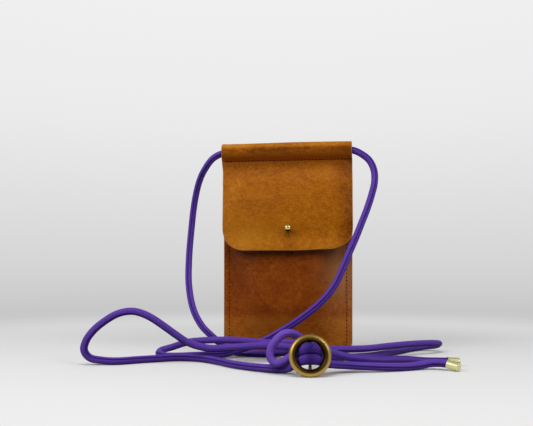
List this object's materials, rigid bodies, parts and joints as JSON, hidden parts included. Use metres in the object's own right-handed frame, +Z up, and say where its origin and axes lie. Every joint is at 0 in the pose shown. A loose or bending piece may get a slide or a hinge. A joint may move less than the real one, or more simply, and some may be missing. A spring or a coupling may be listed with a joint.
{
  "type": "mini bag",
  "caption": "Slim leather crossbody pouch with a fold-over flap, ball stud closing, domed front pocket and a long braided cord adjusted by a ring slider.",
  "frame": {"origin": "floor level, middle of the bag's width and depth, measured without the cord, its slider and its end caps", "axes": "+Z up along the bag's height, front with the flap towards -Y, +X to the right as seen from the front"},
  "size_m": [0.3115, 0.1735, 0.197],
  "materials": {
    "back_leather": "smooth vegetable-tanned leather, golden tan",
    "flap_leather": "smooth vegetable-tanned leather, golden tan, waxed",
    "pocket_leather": "smooth leather, red-brown, mottled",
    "brass": "polished brass",
    "braided_cord": "round braided cord, purple"
  },
  "bodies": {
    "bag": {"back_panel": "back_leather", "front_panel": "pocket_leather", "stud_ball": "brass", "stud_screw": "brass", "cord_in_loop": "braided_cord", "cord_left_drop": "braided_cord", "cord_floor_run": "braided_cord", "cord_big_loop": "braided_cord", "cord_lower_lead": "braided_cord", "cord_lower_tail": "braided_cord", "cord_right_drop": "braided_cord", "cord_small_loop": "braided_cord", "cord_upper_lead": "braided_cord", "cord_upper_tail": "braided_cord", "lower_end_cap": "brass", "upper_end_cap": "brass"},
    "flap": {"flap": "flap_leather"},
    "slider": {"slider_ring": "brass", "cord_upper_weave": "braided_cord", "cord_lower_weave": "braided_cord"}
  },
  "joints": [
    {"name": "flap_hinge", "type": "hinge", "parent": "bag", "child": "flap", "pos_m": [0, 0.0084, 0.1772], "axis": [-1, 0, 0], "range_deg": [0, 98]},
    {"name": "slider_slide", "type": "slide", "parent": "bag", "child": "slider", "axis": [0.9945, 0.1045, 0], "range_m": [0, 0.012], "deforming": ["cord_upper_lead", "cord_lower_lead", "cord_upper_tail", "cord_lower_tail"]}
  ]
}
